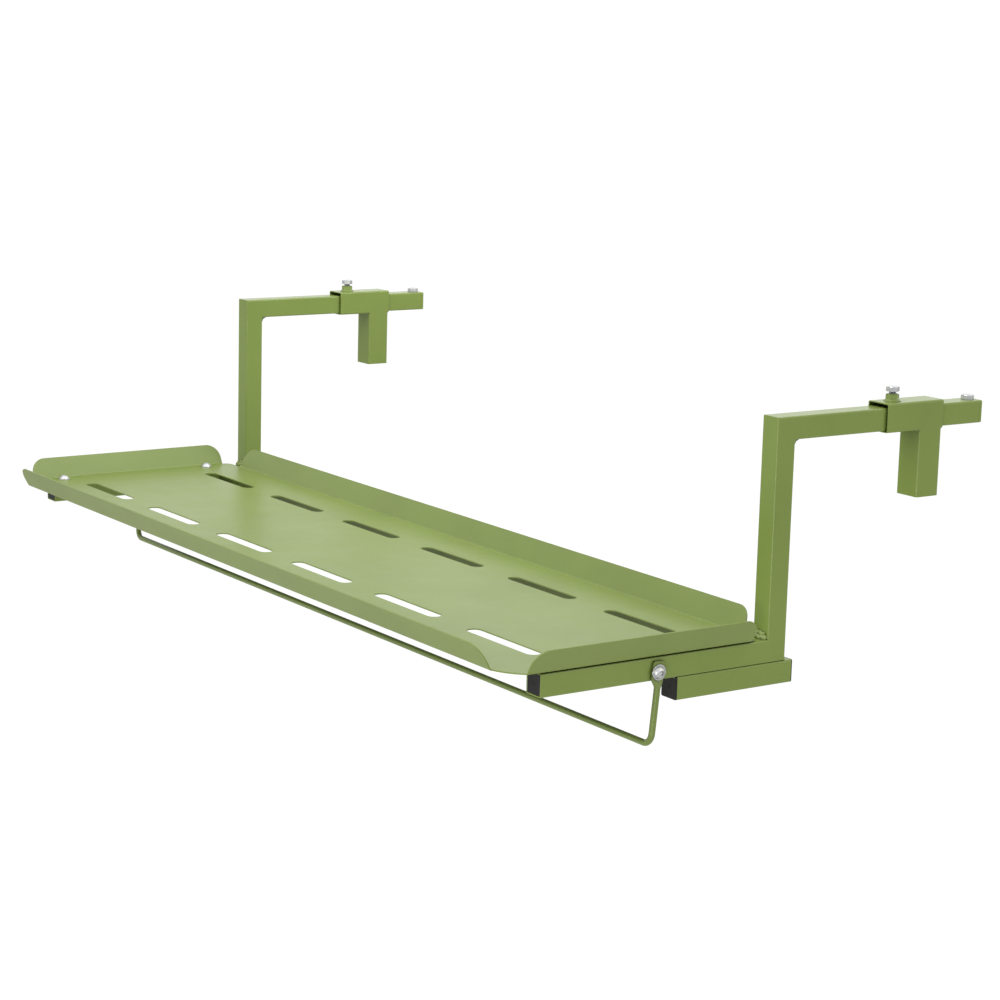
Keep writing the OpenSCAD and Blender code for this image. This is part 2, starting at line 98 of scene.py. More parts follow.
def box_mm(node):
    """Lowest and highest corner of a CAD node in millimetres."""
    low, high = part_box(node)
    return np.array(low) / MM, np.array(high) / MM


# Surfaces
def grid(points, round_u=False, round_v=False):
    """Quads between neighbours of an array of points, along both of its parameters."""
    n, m = points.shape[:2]
    u = np.arange(n if round_u else n - 1)
    v = np.arange(m if round_v else m - 1)
    a, b = np.meshgrid(u, v, indexing="ij")
    c, d = (a + 1) % n, (b + 1) % m
    quads = np.stack([a * m + b, c * m + b, c * m + d, a * m + d], -1)
    return points.reshape(-1, 3), quads.reshape(-1, 4)


def piece(name, surfaces, body, material, nodes=()):
    """One object from several surfaces, joined where their points meet, with its faces turned
    outwards."""
    starts = np.cumsum([0] + [len(v) for v, _ in surfaces])
    points = np.concatenate([v for v, _ in surfaces]) * MM
    faces = np.concatenate([f + s for (_, f), s in zip(surfaces, starts)])
    mesh = bpy.data.meshes.new(name)
    mesh.from_pydata(points.tolist(), [], faces.tolist())
    work = bmesh.new()
    work.from_mesh(mesh)
    bmesh.ops.remove_doubles(work, verts=work.verts, dist=JOIN_M)
    bmesh.ops.dissolve_degenerate(work, dist=FLAT_M, edges=work.edges)
    bmesh.ops.recalc_face_normals(work, faces=work.faces)
    work.to_mesh(mesh)
    work.free()
    mesh.polygons.foreach_set("use_smooth", np.ones(len(mesh.polygons), bool))
    mesh.set_sharp_from_angle(angle=SHARP_ANGLE)
    mesh.materials.append(material)
    made = bpy.data.objects.new(name, mesh)
    bpy.context.scene.collection.objects.link(made)
    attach(made, body)
    if nodes:
        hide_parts(*nodes)
    return made


def on_side(surfaces, side):
    """The surfaces of a right-hand piece, or their mirror image in the plane x = 0."""
    return [(v * (side, 1, 1), f) for v, f in surfaces]


def along_x(y, z):
    """Turns points (across, up, along) so that they run along X at this y and z."""
    return lambda p: np.stack([p[..., 2], y + p[..., 0], z + p[..., 1]], -1)


def along_y(x, z):
    """Turns points (across, up, along) so that they run along Y at this x and z."""
    return lambda p: np.stack([x + p[..., 0], p[..., 2], z + p[..., 1]], -1)


def along_z(x, y):
    """Moves points (across, deep, along) so that they run along Z at this x and y."""
    return lambda p: np.stack([x + p[..., 0], y + p[..., 1], p[..., 2]], -1)


def end_fan(ring):
    """Fan that closes a ring of points: each point moves straight to the ring's middle."""
    return grid(np.stack([ring, np.broadcast_to(ring.mean(0), ring.shape)]), round_v=True)


def outline(width, radius, steps=6):
    """Square with round corners: the middle of each corner's arc plus the radius times (cos, sin),
    with one more point on the flat at each end of the arc, which keeps the flats evenly lit."""
    reach = width / 2 - radius
    turn = np.radians(np.linspace(0, 90, steps + 1))
    arc = reach + radius * np.column_stack([np.cos(turn), np.sin(turn)])
    arc = np.vstack([(width / 2, reach - FLAT_STEP), arc, (reach - FLAT_STEP, width / 2)])
    quarters = [arc]
    for _ in range(3):
        quarters.append(quarters[-1] @ np.array([[0, 1], [-1, 0]]))
    return np.vstack(quarters)


def sections(rows, width, radius):
    """Rounded squares one after another: each row gives how far its outline lies inside the
    full one, its place along the axis and how much that place leans with the second coordinate."""
    made = []
    for inset, along, lean in rows:
        flat = outline(width - 2 * inset, max(radius - inset, 0.25))
        made.append(np.column_stack([flat, along + lean * flat[:, 1]]))
    return np.array(made)


def square_tube(place, start, end, width=TUBE, radius=TUBE_R, mitre=(0, 0)):
    """Outside wall, a rounded lip at the end, the inside wall back and a lip at the start. A mitred
    end keeps a sharper lip, so that the joint hardly shows."""
    rows = []
    for at, sign, lean in ((start, 1, mitre[0]), (end, -1, mitre[1])):
        lip = MITRE_LIP if lean else LIP
        part = [(0, at + sign * (lip + FLAT_STEP), lean), (0, at + sign * lip, lean),
                (0.3 * lip, at + sign * 0.3 * lip, lean), (lip, at, lean), (WALL - lip, at, lean),
                (WALL, at + sign * lip, lean)]
        rows += part[::-1] if sign > 0 else part
    return [grid(place(sections(rows, width, radius)), round_u=True, round_v=True)]


def closed_prism(place, start, end, width, radius, edge=0.4, dish=0.0):
    """Solid rounded square: rounded edges at both ends, each end closed towards its middle,
    which lies deeper by the dish."""
    rows = []
    for at, sign in ((start, 1), (end, -1)):
        part = [(width / 2 - 0.3, at + sign * dish, 0), (0.3 * width, at + sign * dish, 0),
                (0.14 * width, at + sign * dish * 0.5, 0), (edge * 2.2, at, 0), (edge, at, 0),
                (0.3 * edge, at + sign * 0.3 * edge, 0), (0, at + sign * edge, 0),
                (0, at + sign * (edge + FLAT_STEP / 2), 0)]
        rows += part if sign > 0 else part[::-1]
    body = place(sections(rows, width, radius))
    return [grid(body, round_v=True), end_fan(body[0]), end_fan(body[-1])]


def lathe(place, profile, around):
    """Profile of (radius, height) turned about the axis."""
    turn = np.linspace(0, 2 * np.pi, around, endpoint=False)
    r, h = np.array(profile, float).T[:, :, None]
    points = np.stack([r * np.cos(turn), r * np.sin(turn), np.repeat(h, around, 1)], -1)
    return [grid(place(points), round_v=True)]


def hexagon(turn, flats):
    """Distance from the axis to the side of a hexagon with a corner at turn 0: half its width
    across the flats, over the cosine of the angle from the middle of the side."""
    return flats / 2 / np.cos(turn % (np.pi / 3) - np.pi / 6)


def around_axis(place, r, h, turn):
    """Surface from rows of radii and heights that may change with the turn about the axis."""
    return [grid(place(np.stack([r * np.cos(turn), r * np.sin(turn), h], -1)), round_v=True)]


def hex_head(place, low, high, bore=0.0, flange=0.0):
    """Hexagon whose corners are turned off by a cone at the top: height falls with the distance
    by which a corner stands past the flats. A flange and a bore are optional."""
    turn = np.linspace(0, 2 * np.pi, AROUND_HEAD, endpoint=False)
    flat = HEX_FLATS / 2
    side = hexagon(turn, HEX_FLATS)
    drop = (side - flat) * math.tan(math.radians(30))
    full = np.ones_like(turn)
    rows = [(bore * full, low * full)]
    if flange:
        rim = flange / 2
        rows += [((rim - 0.3) * full, low * full), (rim * full, (low + 0.3) * full),
                 (rim * full, (low + 0.9) * full), ((rim - 0.5) * full, (low + 1.4) * full),
                 (side + 0.25, (low + 2.3) * full), (side, (low + 2.7) * full)]
    else:
        rows += [((flat - 0.4) * full, low * full), (side - 0.15, (low + 0.05) * full),
                 (side, (low + 0.2) * full)]
    rows += [(side, high - drop - 0.2), (side - 0.12, high - drop - 0.05),
             ((flat - 0.5) * full, high * full)]
    if bore:
        rows += [((bore + 0.6) * full, high * full), (bore * full, (high - 0.6) * full),
                 (bore * full, low * full)]
    else:
        dent = (high - 0.15) * full
        rows += [((flat - 1.2) * full, dent), (0.02 * full, dent)]
    r, h = np.array([a for a, _ in rows]), np.array([b for _, b in rows])
    return around_axis(place, r, h, turn)


def thread(place, low, high):
    """Screw: the radius falls and rises once per pitch along the axis, and the wave moves on by
    one pitch in a turn. The tip is chamfered and both ends are closed."""
    rows_per_pitch = 8
    count = max(int((high - low) / THREAD_PITCH * rows_per_pitch), rows_per_pitch)
    h = np.linspace(low, high, count)[:, None]
    turn = np.linspace(0, 2 * np.pi, AROUND_SCREW, endpoint=False)
    wave = 0.5 - 0.5 * np.cos(2 * np.pi * h / THREAD_PITCH - turn)
    r = SCREW_D / 2 - THREAD_DEPTH * wave
    r = np.minimum(r, SCREW_D / 2 - 1.0 + (h - low))
    points = np.stack([r * np.cos(turn), r * np.sin(turn), np.repeat(h, AROUND_SCREW, 1)], -1)
    ends = [np.stack([row, row * (0.02, 0.02, 1)]) for row in (points[0], points[-1])]
    return [grid(place(rows), round_v=True) for rows in [points] + ends]


def button_head(place, base):
    """Dome from the rim to the edge of a hexagon socket, the socket's walls and its cone floor.
    The dome is the cap of a sphere over the head's width."""
    turn = np.linspace(0, 2 * np.pi, AROUND_HEAD, endpoint=False)
    half = BUTTON_D / 2
    sphere = (half * half + BUTTON_H * BUTTON_H) / (2 * BUTTON_H)
    hole = hexagon(turn, SOCKET)
    share = np.linspace(1, 0, 12)[:, None]
    r = (hole + 0.25) * (1 - share) + (half - 0.25) * share
    h = np.sqrt(sphere ** 2 - r ** 2) - (sphere - BUTTON_H)
    full = np.ones_like(turn)
    floor_h = BUTTON_H - SOCKET_DEPTH
    under = np.array([0.05 * full, (half - 0.6) * full, (half - 0.1) * full])
    under_h = np.array([0 * full, 0 * full, 0.12 * full])
    inside = np.array([hole, hole, 0.05 * full])
    inside_h = np.array([(h[-1].min() - 0.3) * full, floor_h * full, (floor_h - SOCKET_CONE) * full])
    r = np.concatenate([under, r, inside])
    h = np.concatenate([under_h, h, inside_h])
    return around_axis(place, r, base + h, turn)


def washer(place, low, high):
    """Flat ring with softened edges."""
    soft, bore, rim = 0.2, WASHER_BORE / 2, WASHER_D / 2
    profile = [(bore, low + soft), (bore + soft, low), (rim - soft, low), (rim, low + soft),
               (rim, high - soft), (rim - soft, high), (bore + soft, high), (bore, high - soft),
               (bore, low + soft)]
    return lathe(place, profile, AROUND_WASHER)


def bead(path, radius, seed=1, loop=False):
    """Weld bead: a round section carried along a path. Its radius swells once per puddle, wanders
    slowly along the path, and shrinks to nothing at open ends."""
    path = np.asarray(path, float)
    puddle_l, row_l, around = 2.6, 0.35, 16
    step = np.diff(path, axis=0, append=path[:1] if loop else path[-1:])
    marks = np.concatenate([[0], np.cumsum(np.linalg.norm(step, axis=1))])
    total = marks[-1]
    s = np.linspace(0, total, int(total / row_l) + 8, endpoint=not loop)
    whole = np.vstack([path, path[:1]]) if loop else path
    marks = marks if loop else marks[:-1]
    middle = np.column_stack([np.interp(s, marks, whole[:, k]) for k in range(3)])
    ahead = np.roll(middle, -1, axis=0) - np.roll(middle, 1, axis=0)
    if not loop:
        ahead[0], ahead[-1] = middle[1] - middle[0], middle[-1] - middle[-2]
    ahead /= np.linalg.norm(ahead, axis=1)[:, None]
    side = np.cross(ahead, (0.37, 0.21, 0.9) if abs(ahead[0, 2]) < 0.8 else (0.9, 0.3, 0.1))
    side /= np.linalg.norm(side, axis=1)[:, None]
    up = np.cross(side, ahead)
    puddles = max(round(total / puddle_l), 1)
    swell = 0.20 * np.abs(np.sin(s / total * puddles * np.pi))
    way = 2 * np.pi * s / total
    wander = 0.10 * np.sin(way * 3 + seed) + 0.06 * np.sin(way * 7 + 2 * seed)
    r = radius * (0.86 + swell + wander)
    if not loop:
        end = np.clip(np.minimum(s, total - s) / (1.2 * radius), 0, 1)
        r = r * np.sqrt(end * (2 - end)) + 0.01
    turn = np.linspace(0, 2 * np.pi, around, endpoint=False)[None, :, None]
    ring = np.cos(turn) * side[:, None] + np.sin(turn) * up[:, None]
    points = middle[:, None] + r[:, None, None] * ring
    made = [grid(points, round_u=loop, round_v=True)]
    if not loop:
        made += [end_fan(points[0]), end_fan(points[-1])]
    return made


# Finishes
def material(name):
    """A new material, its node tree, its Principled shader and its Object coordinates."""
    made = bpy.data.materials.new(name)
    made.use_nodes = True
    tree = made.node_tree
    tree.nodes.clear()
    out = tree.nodes.new("ShaderNodeOutputMaterial")
    shader = tree.nodes.new("ShaderNodeBsdfPrincipled")
    tree.links.new(shader.outputs["BSDF"], out.inputs["Surface"])
    place = tree.nodes.new("ShaderNodeTexCoord").outputs["Object"]
    return made, tree, shader, place


def noise(tree, place, scale, detail=2.0, rough=0.5, stretch=None):
    """Noise on Object coordinates, with so many features to the metre."""
    if stretch:
        mapping = tree.nodes.new("ShaderNodeMapping")
        mapping.inputs["Scale"].default_value = stretch
        tree.links.new(place, mapping.inputs["Vector"])
        place = mapping.outputs["Vector"]
    made = tree.nodes.new("ShaderNodeTexNoise")
    made.inputs["Scale"].default_value = scale
    made.inputs["Detail"].default_value = detail
    made.inputs["Roughness"].default_value = rough
    tree.links.new(place, made.inputs["Vector"])
    return made.outputs["Fac"]


def spread(tree, value, low, high, start=0.3, end=0.7):
    """A value from start to end, stretched to run from low to high."""
    made = tree.nodes.new("ShaderNodeMapRange")
    for key, number in (("From Min", start), ("From Max", end), ("To Min", low), ("To Max", high)):
        made.inputs[key].default_value = number
    tree.links.new(value, made.inputs["Value"])
    return made.outputs["Result"]


def ramp(tree, value, stops):
    """Colours at places from 0 to 1, looked up by a value."""
    made = tree.nodes.new("ShaderNodeValToRGB")
    points = made.color_ramp.elements
    while len(points) < len(stops):
        points.new(0.5)
    for point, (at, colour) in zip(points, stops):
        point.position = at
        point.color = (*colour, 1)
    tree.links.new(value, made.inputs["Fac"])
    return made.outputs["Color"]


def mix(tree, share, a, b, blend="MIX"):
    """Two colours mixed by a share; each of the three is a number, a colour or a socket."""
    made = tree.nodes.new("ShaderNodeMix")
    made.data_type = "RGBA"
    made.blend_type = blend
    for key, value in ((0, share), (6, a), (7, b)):
        if isinstance(value, bpy.types.NodeSocket):
            tree.links.new(value, made.inputs[key])
        else:
            made.inputs[key].default_value = value
    return made.outputs[2]


def bump(tree, shader, heights):
    """Bumps laid over each other: each is a height, its strength and its depth in metres."""
    last = None
    for height, strength, depth in heights:
        made = tree.nodes.new("ShaderNodeBump")
        made.inputs["Strength"].default_value = strength
        made.inputs["Distance"].default_value = depth
        tree.links.new(height, made.inputs["Height"])
        if last:
            tree.links.new(last, made.inputs["Normal"])
        last = made.outputs["Normal"]
    tree.links.new(last, shader.inputs["Normal"])


def linear(colour):
    """Screen values from 0 to 255 as the linear values that a shader takes."""
    c = np.array(colour) / 255
    return tuple(np.where(c <= 0.04045, c / 12.92, ((c + 0.055) / 1.055) ** 2.4).tolist())


def powder_coat(name, colour, roughness, peel=0.35, painted_shade=(0.010, 0.16)):
    """Powder coat: orange-peel bumps about 1.5 mm apart, a finer grain over them, cloudy changes
    of tone a hand wide, fine specks of a lighter and a darker green, and painted shade in the
    gaps and hollows."""
    made, tree, shader, place = material(name)
    base = np.array(linear(colour))
    clouds = noise(tree, place, 7.0, 3.0, 0.55)
    pale = base * (1.06, 1.05, 1.08)
    shade = ramp(tree, clouds, [(0.30, base * 0.93), (0.50, base), (0.72, pale)])
    specks = spread(tree, noise(tree, place, 1400.0, 1.0), 0.0, 1.0, 0.62, 0.80)
    shade = mix(tree, mix_share(tree, specks, 0.16), shade, (*(base * 1.35), 1))
    pits = spread(tree, noise(tree, place, 900.0, 1.0, 0.5, (1, 1, 1.3)), 0.0, 1.0, 0.66, 0.82)
    shade = mix(tree, mix_share(tree, pits, 0.18), shade, (*(base * 0.7), 1))
    # painted shade: the colour darkens where gaps and hollows hide the sky
    tree.links.new(painted_gap_shade(tree, shade, *painted_shade), shader.inputs["Base Color"])
    wear = noise(tree, place, 26.0, 4.0, 0.6)
    tree.links.new(spread(tree, wear, roughness - 0.02, roughness + 0.03), shader.inputs["Roughness"])
    shader.inputs["IOR"].default_value = 1.5
    shader.inputs["Specular IOR Level"].default_value = 0.44
    bump(tree, shader, [(noise(tree, place, 650.0, 2.0, 0.5), peel, 0.00012),
                        (noise(tree, place, 2600.0, 1.0, 0.5), 0.25 * peel, 0.00005)])
    return made


def painted_gap_shade(tree, shade, depth, darkest, clear=0.62):
    """Painted shade in gaps and hollows: the colour is multiplied by a grey that falls where
    little sky is seen within the depth, in metres."""
    made = tree.nodes.new("ShaderNodeAmbientOcclusion")
    made.samples = 8
    made.inputs["Distance"].default_value = depth
    grey = ramp(tree, made.outputs["AO"], [(0.08, (darkest,) * 3), (clear, (1, 1, 1))])
    return mix(tree, 1.0, shade, grey, "MULTIPLY")


def mix_share(tree, value, most):
    """A share from 0 to 1, brought down to run from 0 to the most."""
    made = tree.nodes.new("ShaderNodeMath")
    made.operation = "MULTIPLY"
    made.inputs[1].default_value = most
    tree.links.new(value, made.inputs[0])
    return made.outputs["Value"]


def moulded_plastic(name):
    """Black moulded plastic: a fine spark-eroded grain, faint flow marks, and dust in the low
    places."""
    made, tree, shader, place = material(name)
    grain = noise(tree, place, 1800.0, 2.0, 0.6)
    flow = noise(tree, place, 40.0, 3.0, 0.6, (1, 1, 4))
    shade = ramp(tree, flow, [(0.30, (0.008, 0.008, 0.008)), (0.70, (0.015, 0.015, 0.015))])
    dust = spread(tree, grain, 0.0, 0.2, 0.5, 0.8)
    shade = mix(tree, dust, shade, (0.04, 0.04, 0.038, 1))
    tree.links.new(shade, shader.inputs["Base Color"])
    tree.links.new(spread(tree, grain, 0.42, 0.62), shader.inputs["Roughness"])
    shader.inputs["Specular IOR Level"].default_value = 0.3
    bump(tree, shader, [(grain, 0.4, 0.00008)])
    return made


def zinc_plate(name):
    """Bright zinc on steel: cloudy blue to straw passivation, fine turning marks, dull patches,
    and painted shade in the socket, the thread and other narrow gaps.
    """
    made, tree, shader, place = material(name)
    clouds = noise(tree, place, 160.0, 3.0, 0.6)
    blue, plain, straw = (0.52, 0.54, 0.57), (0.66, 0.66, 0.66), (0.64, 0.62, 0.55)
    shade = ramp(tree, clouds, [(0.30, blue), (0.55, plain), (0.75, straw)])
    # painted shade in the socket, the thread and other narrow gaps
    tree.links.new(painted_gap_shade(tree, shade, 0.004, 0.06), shader.inputs["Base Color"])
    shader.inputs["Metallic"].default_value = 1.0
    marks = noise(tree, place, 900.0, 2.0, 0.6, (1, 1, 6))
    tree.links.new(spread(tree, marks, 0.24, 0.44), shader.inputs["Roughness"])
    bump(tree, shader, [(marks, 0.25, 0.00006)])
    return made


# Each paint carries painted shade in gaps and hollows: its reach in metres, its darkest grey and where
# it clears (the tray keeps the default).
TRAY_PAINT = powder_coat("tray_paint", (128, 146, 72), 0.36)
FRAME_PAINT = powder_coat("frame_paint", (128, 147, 71), 0.22, 0.25, (0.008, 0.22, 0.85))
# Weld paint: a lighter green than the frame paint, a painted highlight for the light that the lumpy
# beads catch.
LIT_WELD_PAINT = powder_coat("lit_weld_paint", (140, 158, 90), 0.25, 0.5, (0.002, 0.7))
# Leg paint: deep painted shade on the leg's faces under the sleeve.
SHADED_LEG_PAINT = powder_coat("shaded_leg_paint", (128, 147, 71), 0.22, 0.25, (0.08, 0.35, 1.0))
SHADED_PAINT = powder_coat("shaded_paint", (116, 133, 63), 0.40, painted_shade=(0.12, 0.10, 1.0))
# Rod paint: a darker green than the frame and deep painted shade, standing in for the tray's shadow on
# the rod.
SHADED_ROD_PAINT = powder_coat("rod_paint", (122, 140, 68), 0.30, 0.25, (0.15, 0.10, 0.95))
PLASTIC = moulded_plastic("black_plastic")
ZINC = zinc_plate("zinc_plate")


# Tray
def slot_edge(slot_x, slot_y):
    """Outline of a slot in step with the rectangle round it: along the lower side, up the right
    end, back along the upper side and down the left end, each side ending half way round an arc."""
    r = SLOT_W / 2
    reach = SLOT_L / 2 - r

    def arc_at(middle, first, last, count):
        turn = np.radians(np.linspace(first, last, count + 1))
        return np.column_stack([middle + r * np.cos(turn), r * np.sin(turn)])

    side_x = np.linspace(-reach, reach, SIDE_STEPS + 1)
    side = np.column_stack([side_x, np.full(len(side_x), -r)])
    low = np.vstack([arc_at(-reach, 225, 270, ARC_STEPS)[:-1], side,
                     arc_at(reach, 270, 315, ARC_STEPS)[1:]])
    end = arc_at(reach, -45, 45, 2 * ARC_STEPS)
    half = np.vstack([low[:-1], end[:-1]])
    return np.vstack([half, -half]) + (slot_x, slot_y)


def slot_cell(x0, x1, y0, y1, slot_x, slot_y):
    """Sheet between a slot and the rectangle round it: each point moves straight from one to the
    other, with a row close to the slot."""
    along = np.linspace(x0, x1, CELL_COLUMNS)
    up = np.linspace(y0, y1, CELL_ROWS)
    rim = np.vstack([np.column_stack([along[:-1], np.full(len(along) - 1, y0)]),
                     np.column_stack([np.full(len(up) - 1, x1), up[:-1]]),
                     np.column_stack([along[:0:-1], np.full(len(along) - 1, y1)]),
                     np.column_stack([np.full(len(up) - 1, x0), up[:0:-1]])])
    inner = slot_edge(slot_x, slot_y)
    share = np.array([0, 0.12, 1])[:, None, None]
    flat = inner * (1 - share) + rim * share
    return grid(np.dstack([flat, np.zeros(flat.shape[:2])]), round_v=True)


def flat_grid(xs, ys):
    """Flat sheet with its points at these x and y."""
    x, y = np.meshgrid(xs, ys, indexing="ij")
    return grid(np.dstack([x, y, 0 * x]))


def corner_fan(middle, edge, shares):
    """Sheet of a corner: each point moves from the inner corner straight to the cut edge."""
    share = np.array(shares)[:, None, None]
    flat = np.array(middle) * (1 - share) + edge * share
    return grid(np.dstack([flat, np.zeros(flat.shape[:2])]))


def front_cut(steps=12):
    """Arc over the chord of a front corner: the circle through both of its ends that stands out
    from the chord by the bulge."""
    a, b = np.array([CUT_X, FLOOR_FRONT]), np.array([OUTER_X, CUT_Y])
    chord = np.linalg.norm(b - a)
    r = (chord ** 2 / 4 + CUT_BULGE ** 2) / (2 * CUT_BULGE)
    out = np.array([b[1] - a[1], a[0] - b[0]]) / chord
    middle = (a + b) / 2 - out * (r - CUT_BULGE)
    half = math.asin(chord / 2 / r)
    turn = math.atan2(out[1], out[0]) + np.linspace(-half, half, steps + 1)
    arc = middle + r * np.column_stack([np.cos(turn), np.sin(turn)])
    arc[0], arc[-1] = a, b
    return arc


def flange(line, middle, place, reach):
    """Flange over the points of a floor edge: it turns up on an arc, then runs straight on. Towards
    the free edge the points close in on the middle as the rounded ends do."""
    rho = BEND_R + SHEET / 2
    turn = np.linspace(0, FLANGE_TURN, 8)
    bend = np.column_stack([rho * np.sin(turn), rho * (1 - np.cos(turn)), 0 * turn + reach])
    arc = np.linspace(0, np.pi / 2, 13)
    straight = FLANGE_L - FLANGE_R
    up = np.concatenate([[BESIDE_BEND, 0.4 * straight], straight + FLANGE_R * np.sin(arc)])
    half = np.concatenate([[reach, reach], reach - FLANGE_R * (1 - np.cos(arc))])
    flat = np.column_stack([bend[-1, 0] + up * math.cos(FLANGE_TURN),
                            bend[-1, 1] + up * math.sin(FLANGE_TURN), half])
    rows = np.vstack([bend, flat])
    along = middle + (line[None, :] - middle) * rows[:, 2:] / reach
    out = np.repeat(rows[:, :1], len(line), 1)
    rise = np.repeat(rows[:, 1:2], len(line), 1)
    return grid(place(along, out, rise))


def tray_surfaces():
    """Middle plane of the tray sheet: slot cells and plain strips for the floor, fans at its
    corners and four flanges, all with shared edge points."""
    edges = np.concatenate([[-CUT_X], np.arange(-2, 3) * SLOT_PITCH, [CUT_X]])
    made = []
    for y0, y1, slot_y in SLOT_ROWS:
        for i in range(SLOT_COUNT):
            slot_x = (i - (SLOT_COUNT - 1) / 2) * SLOT_PITCH
            made.append(slot_cell(edges[i], edges[i + 1], y0, y1, slot_x, slot_y))
    spans = [np.linspace(edges[i], edges[i + 1], CELL_COLUMNS) for i in range(SLOT_COUNT)]
    xs = np.unique(np.concatenate(spans).round(6))
    inner_x = OUTER_X - REAR_R
    split = (inner_x - CUT_X) / (OUTER_X - CUT_X)
    beside = 1 - BESIDE_BEND / (OUTER_X - CUT_X)
    beside_x = OUTER_X - BESIDE_BEND
    front_ys = CUT_Y + np.array([1, beside, split, 0]) * (FLOOR_FRONT - CUT_Y)
    rear_y = FLOOR_REAR - REAR_R
    made.append(flat_grid(xs, front_ys))
    made.append(flat_grid(xs, np.array([SLOT_ROWS[0][1], STRIP_Y, SLOT_ROWS[1][0]])))
    made.append(flat_grid(np.concatenate([[-inner_x], xs, [inner_x]]),
                          np.array([rear_y, FLOOR_REAR - BESIDE_BEND, FLOOR_REAR])))
    ys = np.unique(np.concatenate([np.linspace(*SLOT_ROWS[0][:2], CELL_ROWS), [STRIP_Y],
                                   np.linspace(*SLOT_ROWS[1][:2], CELL_ROWS)]).round(6))
    corner = np.radians(np.linspace(0, 90, 9))
    rear_arc = (inner_x, rear_y) + REAR_R * np.column_stack([np.cos(corner), np.sin(corner)])
    for side in (RIGHT, LEFT):
        part = [flat_grid(np.array([CUT_X, inner_x, beside_x, OUTER_X]), ys),
                corner_fan((CUT_X, CUT_Y), front_cut(), (0, split, beside, 1)),
                corner_fan((inner_x, rear_y), rear_arc, (0, 1 - BESIDE_BEND / REAR_R, 1)),
                flange(ys, (CUT_Y + rear_y) / 2,
                       lambda a, o, z: np.dstack([OUTER_X + o, a, z]), (rear_y - CUT_Y) / 2)]
        made += on_side(part, side)
    made.append(flange(xs, 0, lambda a, o, z: np.dstack([a, FLOOR_FRONT - o, z]), CUT_X))
    made.append(flange(xs, 0, lambda a, o, z: np.dstack([a, FLOOR_REAR + o, z]), CUT_X))
    return [(v + (0, 0, FLOOR_MID_Z), f) for v, f in made]


def tray_sheet():
    """The tray: its middle plane, given the sheet's thickness and softened cut edges."""
    tray = piece("tray_sheet", tray_surfaces(), "root", TRAY_PAINT, ["tray"])
    if tray.data.polygons[0].normal.z < 0:
        tray.data.flip_normals()
    wall = tray.modifiers.new("sheet", "SOLIDIFY")
    wall.thickness = SHEET * MM
    wall.offset = 0
    wall.use_even_offset = True
    soft = tray.modifiers.new("cut_edges", "BEVEL")
    soft.width = CUT_EDGE * MM
    soft.segments = 2
    soft.limit_method = "ANGLE"
    soft.angle_limit = math.radians(40)
    soft.harden_normals = True


tray_sheet()

# Brackets
ARM_END = box_mm("right_top_arm")[1][1]
PLATE_END = box_mm("right_arm_end_plate")[1][1]
LOWER_LOW, LOWER_HIGH = box_mm("right_lower_arm")
SPACER_LOW, SPACER_HIGH = box_mm("right_spacer_tube")
SLEEVE_LOW, SLEEVE_HIGH = box_mm("right_clamp_sleeve")
LEG_LOW, LEG_HIGH = box_mm("right_clamp_leg")
ARM_Z = TUBE / 2
LOWER_Z = (LOWER_LOW[2] + LOWER_HIGH[2]) / 2
SPACER_Z = (SPACER_LOW[2] + SPACER_HIGH[2]) / 2
SLEEVE_Z = (SLEEVE_LOW[2] + SLEEVE_HIGH[2]) / 2
LEG_Y = (LEG_LOW[1] + LEG_HIGH[1]) / 2
PLUG = TUBE - 2 * WALL - 0.2
PLUG_RIM, PLUG_DEPTH = 1.2, 9.0
CAP_SUNK, CAP_DEPTH, SEAM_INSET = 0.3, 10.0, 2.6
HOOK_FILLET, HOOK_FILLET_REACH = 7.0, 10.3


def bracket_tubes(name, side):
    """The four tubes of a bracket and the plate that closes its top arm."""
    tubes = (("top_arm_tube", "top_arm",
              square_tube(along_y(BRACKET_X, ARM_Z), -ARM_Z, ARM_END, mitre=(-1, 0))),
             ("post_tube", "post",
              square_tube(along_z(BRACKET_X, -ARM_Z), LOWER_Z, ARM_Z, mitre=(-1, -1))),
             ("lower_arm_tube", "lower_arm",
              square_tube(along_y(BRACKET_X, LOWER_Z), LOWER_LOW[1], -ARM_Z, mitre=(0, -1))),
             ("spacer", "spacer_tube",
              square_tube(along_y(BRACKET_X, SPACER_Z), SPACER_LOW[1], SPACER_HIGH[1])),
             ("arm_plate", "arm_end_plate",
              closed_prism(along_y(BRACKET_X, ARM_Z), ARM_END, PLATE_END, TUBE, TUBE_R, 0.6)))
    for title, node, surfaces in tubes:
        piece(f"{name}_{title}", on_side(surfaces, side), "root", FRAME_PAINT,
              [f"{name}_{node}"])


def hook_fillet():
    """Weld in the hook's inner corner: a quarter arc between the two legs of the corner, carried
    along X, with a ripple in its size."""
    turn = np.linspace(0, np.pi / 2, 9)
    hollow = np.column_stack([HOOK_FILLET * (1 - np.sin(turn)), HOOK_FILLET * (np.cos(turn) - 1)])
    wedge = np.vstack([[0, 0], hollow])
    xs = np.linspace(-HOOK_FILLET_REACH, HOOK_FILLET_REACH, 31)
    ripple = 1 + 0.05 * np.sin(xs * 2.4)[:, None]
    across = np.repeat(xs[:, None], len(wedge), 1) + BRACKET_X
    rows = np.stack([across, wedge[None, :, 0] * ripple, wedge[None, :, 1] * ripple], -1)
    return [grid(rows, round_v=True), end_fan(rows[0]), end_fan(rows[-1])]


